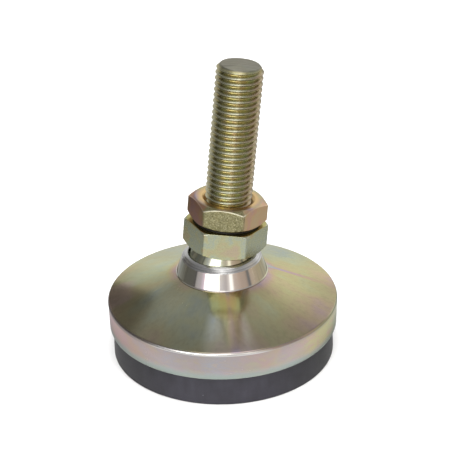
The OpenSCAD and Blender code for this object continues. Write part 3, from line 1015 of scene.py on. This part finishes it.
def rubber_material():
    m = new_material("black_rubber")
    x, y, z = m.split(m.loc())
    azimuth = m.azimuth(x, y)
    loc = m.loc()
    patches = m.noise(loc, scale=0.25, detail=4, rough=0.6)
    streaks = m.noise(m.vec(azimuth * 60, 0, z * 0.08), scale=1.0, detail=4, rough=0.6)
    grain = m.noise(loc, scale=3.2, detail=5, rough=0.7)
    colour = m.ramp(streaks * 0.6 + patches * 0.4, [
        (0.3, (0.016, 0.0155, 0.018)), (0.7, (0.030, 0.029, 0.034))])
    dust = m.remap(m.voronoi(loc, scale=0.30), at=(0.035, 0.02))
    clusters = m.remap(m.noise(loc, scale=0.11, detail=2, rough=0.5), at=(0.50, 0.60))
    colour = m.mix(colour, (0.42, 0.42, 0.42), by=dust * clusters * 0.7)
    # painted light and shade round the pad
    colour = m.tint(colour, m.ramp(azimuth + 0.5, RUBBER_PAINTED_LIGHT))
    height = grain * 0.5 + streaks * 0.8
    return m.principled(
        Base_Color=colour, Roughness=0.50 + grain * 0.18,
        Normal=m.bump(height, strength=0.35, distance=0.00010), Specular_IOR_Level=0.45)


# painted shade: the washer is near black, darker than the rubber, and also stands in for the
# shadow in the gap between the hexagon and the nut
def washer_material():
    m = new_material("black_washer_and_gap_shade")
    grain = m.noise(m.loc(), scale=2.4, detail=4, rough=0.65)
    colour = m.ramp(grain, [(0.3, (0.008, 0.007, 0.006)), (0.7, (0.02, 0.018, 0.014))])
    return m.principled(
        Base_Color=colour, Roughness=0.45 + grain * 0.2,
        Normal=m.bump(grain, strength=0.4, distance=0.00006), Specular_IOR_Level=0.35)


def seat_material():
    m = new_material("bearing_plastic")
    loc = m.object_mm()
    patches = m.noise(loc, scale=0.5, detail=4, rough=0.6)
    grain = m.noise(loc, scale=4.0, detail=3, rough=0.6)
    colour = m.ramp(patches, [(0.3, (0.72, 0.70, 0.62)), (0.7, (0.82, 0.80, 0.73))])
    return m.principled(
        Base_Color=colour, Roughness=0.38 + grain * 0.14,
        Normal=m.bump(grain, strength=0.2, distance=0.00004), Subsurface_Weight=0.05)


def plate_material():
    m = new_material("pressed_steel")
    loc = m.object_mm()
    patches = m.noise(loc, scale=0.12, detail=4, rough=0.6)
    grain = m.noise(loc, scale=2.0, detail=5, rough=0.7)
    colour = m.ramp(patches, [(0.3, (0.36, 0.36, 0.35)), (0.7, (0.50, 0.50, 0.49))])
    return m.principled(
        Base_Color=colour, Metallic=1.0, Roughness=0.30 + grain * 0.2,
        Normal=m.bump(grain, strength=0.25, distance=0.00006))


for build_piece, make_material in (
        (build_stud, stud_material), (build_nut, nut_material), (build_washer, washer_material),
        (build_dish, dish_material), (build_collar, collar_material),
        (build_pad, rubber_material)):
    dress(build_piece(), make_material())
seat = seat_material()
dress(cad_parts["ball_seat"], seat)
dress(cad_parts["seat_ring"], seat)
dress(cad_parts["backing_plate"], plate_material())

# ---------------------------------------------------------------- floor and cards


def build_floor():
    cells, half, z = 48, 4.0, -0.00002  # metres
    line = np.linspace(-half, half, cells + 1).tolist()
    row = cells + 1
    points = [(x, y, z) for y in line for x in line]
    faces = [(j * row + i, j * row + i + 1, (j + 1) * row + i + 1, (j + 1) * row + i)
             for j in range(cells) for i in range(cells)]
    floor = plain_object("floor", points, faces)
    m = new_material("pale_floor")
    patches = m.noise(m.object_mm(), scale=0.002, detail=2, rough=0.5)
    colour = m.ramp(patches, [(0.3, 0.90), (0.7, 0.92)])
    dress(floor, m.principled(Base_Color=colour, Roughness=0.9, Specular_IOR_Level=0.1))


def stage_for_reflections(obj):
    """Stage an object that only reflections see."""
    obj.visible_camera = False
    obj.visible_diffuse = False
    obj.visible_shadow = False
    obj.visible_transmission = False


# Brightness of the floor as the metal sees it: radius in mm, grey or colour
GLOW_LEFT = [
    (44, 0.50), (50, 0.60), (54, 1.05), (60, 1.16), (64, 1.06), (68, 0.92), (75, 0.75),
    (80, 0.66), (100, 0.52), (122, 0.43), (170, 0.31), (240, (0.21, 0.21, 0.20)),
    (420, (0.14, 0.14, 0.13)), (3000, 0.13)]
GLOW_RIGHT = [
    (44, 0.50), (50, 0.62), (54, 1.10), (60, 1.25), (64, 1.08), (68, 0.90), (75, 0.72),
    (82, 0.60), (120, (0.60, 0.58, 0.54)), (190, (0.54, 0.51, 0.46)),
    (300, (0.54, 0.49, 0.41)), (3000, (0.60, 0.54, 0.45))]
GLOW_FRONT = [
    (44, 0.95), (60, 1.05), (66, 1.02), (72, 0.95), (140, 0.92), (185, 0.58), (260, 0.48),
    (500, 0.45), (3000, 0.45)]
GLOW_BACK = [(44, 0.95), (3000, 1.0)]


def floor_glow_material():
    m = new_material("floor_glow_paint")
    x, y, z = m.split(m.object_mm())
    radius = m.radius(x, y)
    log_radius = m.math("LOGARITHM", radius, 10.0)
    left, right, front, back = [
        m.along(log_radius, [(math.log10(r), value) for r, value in stops])
        for stops in (GLOW_LEFT, GLOW_RIGHT, GLOW_FRONT, GLOW_BACK)]
    unit_x, unit_y = x / radius, y / radius
    colour = m.mix(front, back, by=m.remap(unit_y, at=(-0.35, 0.25)))
    colour = m.mix(colour, left, by=m.remap(unit_x, at=(-0.30, -0.72)))
    colour = m.mix(colour, right, by=m.remap(unit_x, at=(0.42, 0.80)))
    return m.emission(colour)


def build_floor_glow():
    """A ring just above the floor, seen only in reflections: bright near the foot, fading
    outwards in front and more so on both sides."""
    cols, z = 96, 0.00004
    radii = [44, 60, 80, 110, 150, 220, 340, 600, 1200, 3000]
    angles = np.linspace(0, 2 * math.pi, cols, endpoint=False).tolist()
    points = [(r * MM * math.sin(a), -r * MM * math.cos(a), z) for r in radii for a in angles]
    faces = []
    for j in range(len(radii) - 1):
        for i in range(cols):
            after = (i + 1) % cols
            faces.append((j * cols + i, j * cols + after,
                          (j + 1) * cols + after, (j + 1) * cols + i))
    glow = plain_object("floor_glow", points, faces)
    dress(glow, floor_glow_material())
    stage_for_reflections(glow)


def build_flag(name, centre, across, up, outline, colour, blotch=None):
    """A flat card seen only in reflections. Its outline is in mm on the axes across and up.
    It is blotched when it has a second colour."""
    points = [tuple(MM * (centre[k] + u * across[k] + v * up[k]) for k in range(3))
              for u, v in outline]
    flag = plain_object(name, points, [tuple(range(len(points)))])
    m = new_material(name + "_paint")
    if blotch is not None:
        patches = m.noise(m.object_mm(), scale=0.035, detail=3, rough=0.6)
        colour = m.ramp(patches, [(0.40, colour), (0.62, blotch)])
    dress(flag, m.emission(colour))
    stage_for_reflections(flag)


# ---------------------------------------------------------------- world

# Walls and ceiling on either side: elevation in degrees, brightness
WALL_LEFT = [
    (-10, 1.0), (3, 1.0), (10, 0.86), (19, 0.64), (29, 0.46), (39, 0.34), (52, 0.40),
    (64, 0.34), (76, 0.42), (90, 0.50)]
WALL_RIGHT = [
    (-10, 1.0), (3, 1.0), (19, 1.04), (29, 0.98), (39, 0.80), (50, 0.58), (60, 0.44),
    (70, 0.52), (90, 0.50)]
# The camera's side, by azimuth in degrees: two soft boxes with a gap between them, a dark room
# on the left, a tan room on the right
SOFT_BOX = (3.2, 3.15, 3.05)
FRONT_ROOM = [
    (-180, 1.0), (-146, 0.85), (-128, 0.34), (-112, 0.16), (-92, 0.145), (-82, 0.19),
    (-75, 0.25), (-73, 0.12), (-70, 0.12), (-68, 0.44), (-60, 0.56),
    (-52, (0.72, 0.70, 0.73)), (-46, (0.98, 0.90, 0.98)), (-43, SOFT_BOX), (-9, SOFT_BOX),
    (-6.5, (0.95, 0.92, 0.88)), (10, (0.66, 0.62, 0.60)), (17, (0.98, 0.93, 0.90)),
    (20, (1.7, 1.7, 1.6)), (26, (1.6, 1.6, 1.5)), (29, (0.80, 0.70, 0.62)),
    (45, (0.62, 0.52, 0.45)), (64, (0.52, 0.43, 0.36)), (68, 0.24), (73, 0.24),
    (76, (0.60, 0.52, 0.44)), (90, (0.74, 0.66, 0.56)), (104, (0.62, 0.57, 0.48)),
    (118, 0.50), (140, 0.66), (160, 1.0), (180, 1.0)]
# The dim ceiling above the soft boxes: azimuth in degrees, brightness
FRONT_CEILING = [(-180, 0.40), (-90, 0.20), (-30, 0.30), (30, 0.36), (90, 0.46), (180, 0.50)]


def build_world():
    """A studio for reflections and light. The camera itself sees plain white."""
    world = bpy.data.worlds.new("studio")
    bpy.context.scene.world = world
    m = Graph(world, output="OutputWorld")
    x, y, z = m.split(m.out(m.node("TexCoord"), "Generated"))
    elevation = m.math("DEGREES", m.math("ARCSINE", z))
    azimuth = m.math("DEGREES", m.math("ARCTAN2", x, y * -1.0))
    room = m.mix(m.along(elevation, WALL_LEFT), m.along(elevation, WALL_RIGHT),
                 by=m.remap(x, at=(-0.22, 0.18)))
    # the soft boxes fade out from 30 to 38 degrees up
    front = m.mix(m.along(azimuth, FRONT_ROOM), m.along(azimuth, FRONT_CEILING),
                  by=m.remap(elevation, at=(30, 38)))
    near = m.remap(y, at=(0.62, 0.40)) * m.remap(elevation, at=(66, 48))
    room = m.mix(room, front, by=near)
    # a narrow bright strip in front, and a large panel high up
    strip = m.band(azimuth, span=(-6, 5), soft=3) * m.band(elevation, span=(28, 52), soft=6)
    room = m.mix(room, (3.2, 3.2, 3.1), by=strip)
    panel = m.band(x, span=(-0.27, 0.34), soft=0.05) * m.band(y, span=(-0.50, -0.07), soft=0.05)
    panel = panel * m.remap(z, at=(0.72, 0.80))
    room = m.mix(room, (1.45, 1.43, 1.40), by=panel)
    is_camera = m.out(m.node("LightPath"), "Is Camera Ray")
    studio = m.out(m.node("Background", {0: room}))
    white = m.out(m.node("Background", {0: (1, 1, 1, 1)}))
    m.finish(m.node("MixShader", {0: is_camera, 1: studio, 2: white}))


# ---------------------------------------------------------------- light and camera


def build_overhead_light():
    """A big square lamp for the floor and the soft shadow, not seen in reflections."""
    target = Vector((0, 0, 0.04))
    elevation, distance, size, power = math.radians(82), 1.2, 1.5, 25.0
    place = target + distance * Vector((0, -math.cos(elevation), math.sin(elevation)))
    light = bpy.data.lights.new("overhead", "AREA")
    light.shape = "RECTANGLE"
    light.size = size
    light.size_y = size
    light.energy = power
    lamp = bpy.data.objects.new("overhead", light)
    bpy.context.scene.collection.objects.link(lamp)
    aim = (place - target).to_track_quat("Z", "Y").to_matrix().to_4x4()
    lamp.matrix_world = Matrix.Translation(place) @ aim
    lamp.visible_glossy = False
    lamp.visible_camera = False


def build_camera():
    """In front, looking down on the foot, with a slight roll."""
    target = Vector((0.001388, 0, 0.047329))
    distance, elevation, roll = 0.5256, math.radians(27.34), math.radians(-1.294)
    back = Vector((0, -math.cos(elevation), math.sin(elevation)))
    level = Vector((1, 0, 0))
    upright = back.cross(level).normalized()
    right = math.cos(roll) * level + math.sin(roll) * upright
    up = -math.sin(roll) * level + math.cos(roll) * upright
    data = bpy.data.cameras.new("camera")
    data.sensor_width = 36
    data.lens = 123.2864
    data.clip_start = 0.01
    camera = bpy.data.objects.new("camera", data)
    bpy.context.scene.collection.objects.link(camera)
    place = target + distance * back
    rows = [(right[k], up[k], back[k], place[k]) for k in range(3)]
    camera.matrix_world = Matrix((*rows, (0, 0, 0, 1)))
    bpy.context.scene.camera = camera


build_floor()
build_floor_glow()
build_world()
# low black flag on the left, seen in the steel and in the thread
build_flag("flag_left", centre=(-300, -90, 0), across=(0, 1, 0), up=(0, 0, 1),
           outline=[(-8, -2), (230, -2), (230, 70), (-8, 70)], colour=(0.14, 0.14, 0.13))
# small flag behind on the left, which darkens the outer left of the dish
build_flag("flag_dish", centre=(-59.2, 34.8, 52.4), across=(-0.858, -0.513, 0.0),
           up=(0.254, -0.425, 0.869),
           outline=[(-14.0, -34), (-14.7, -23), (-14.2, -17), (-12.9, -10.8), (-11.4, -2.6),
                    (-10.0, 4.5), (-7.8, 10.4), (-4.6, 15.8), (-0.6, 19.6), (4.0, 22.6),
                    (9.0, 25.2), (14.5, 28), (30, 30), (44, 10), (44, -34)],
           colour=(0.13, 0.125, 0.115), blotch=(0.25, 0.23, 0.21))
build_overhead_light()
build_camera()
bpy.context.scene.view_settings.view_transform = "Standard"
bpy.context.scene.view_settings.look = "None"
